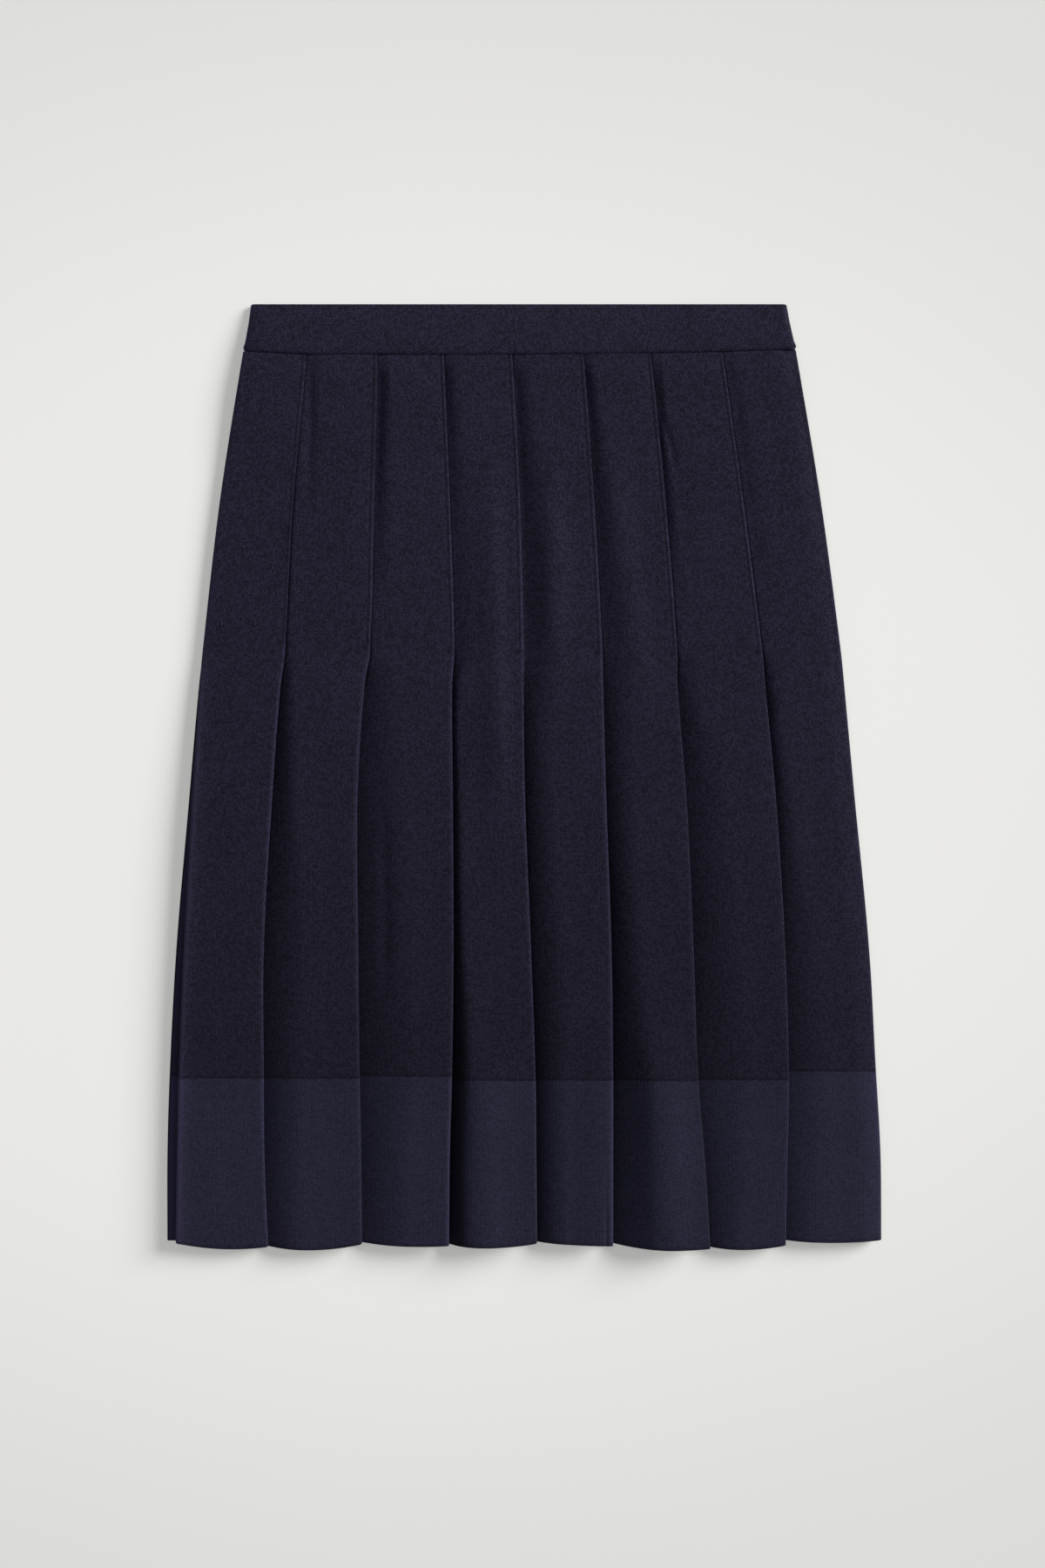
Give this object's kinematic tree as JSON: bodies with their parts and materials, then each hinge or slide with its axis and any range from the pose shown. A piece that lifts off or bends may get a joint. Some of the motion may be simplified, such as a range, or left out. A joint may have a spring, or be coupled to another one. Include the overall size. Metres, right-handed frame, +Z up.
{
  "type": "pleated midi skirt",
  "caption": "Fine-knit midi skirt with a plain waistband, knife pleats stitched down to the hip and a contrast hem band, laid flat on its back.",
  "frame": {"origin": "middle of the whole garment's box on the surface that it lies on", "axes": "+X to the right as the front is seen, +Y from hem to waistband along the length, +Z up from the surface, front side up"},
  "size_m": [0.4766, 0.63, 0.0177],
  "materials": {
    "navy_knit": "fine heathered knit, matt, slightly fuzzy",
    "band_knit": "smooth tight knit in a bluer navy, matt"
  },
  "bodies": {
    "root": {"waistband": "navy_knit", "front_pleats": "navy_knit", "back_pleats": "navy_knit", "front_hem_band": "band_knit", "back_hem_band": "band_knit"}
  },
  "joints": []
}
